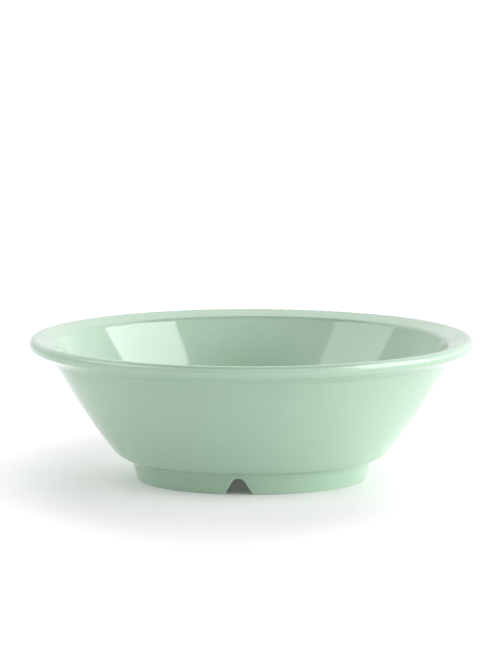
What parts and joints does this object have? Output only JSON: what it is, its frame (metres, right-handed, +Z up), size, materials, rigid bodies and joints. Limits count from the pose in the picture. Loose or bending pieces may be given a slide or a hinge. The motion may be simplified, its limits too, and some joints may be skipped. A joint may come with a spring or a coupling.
{
  "type": "mixing bowl",
  "caption": "Shallow round moulded bowl with sloping sides, a wide flange with a full-round lip, and a foot ring with drain notches.",
  "frame": {"origin": "centre of the foot ring, on the plane that it stands on", "axes": "+Z up along the bowl's axis of revolution; one drain notch faces -Y"},
  "size_m": [0.18, 0.18, 0.0576],
  "materials": {
    "mint_melamine": "glossy moulded mint green melamine, very slightly mottled"
  },
  "bodies": {
    "root": {"bowl_body": "mint_melamine"}
  },
  "joints": []
}
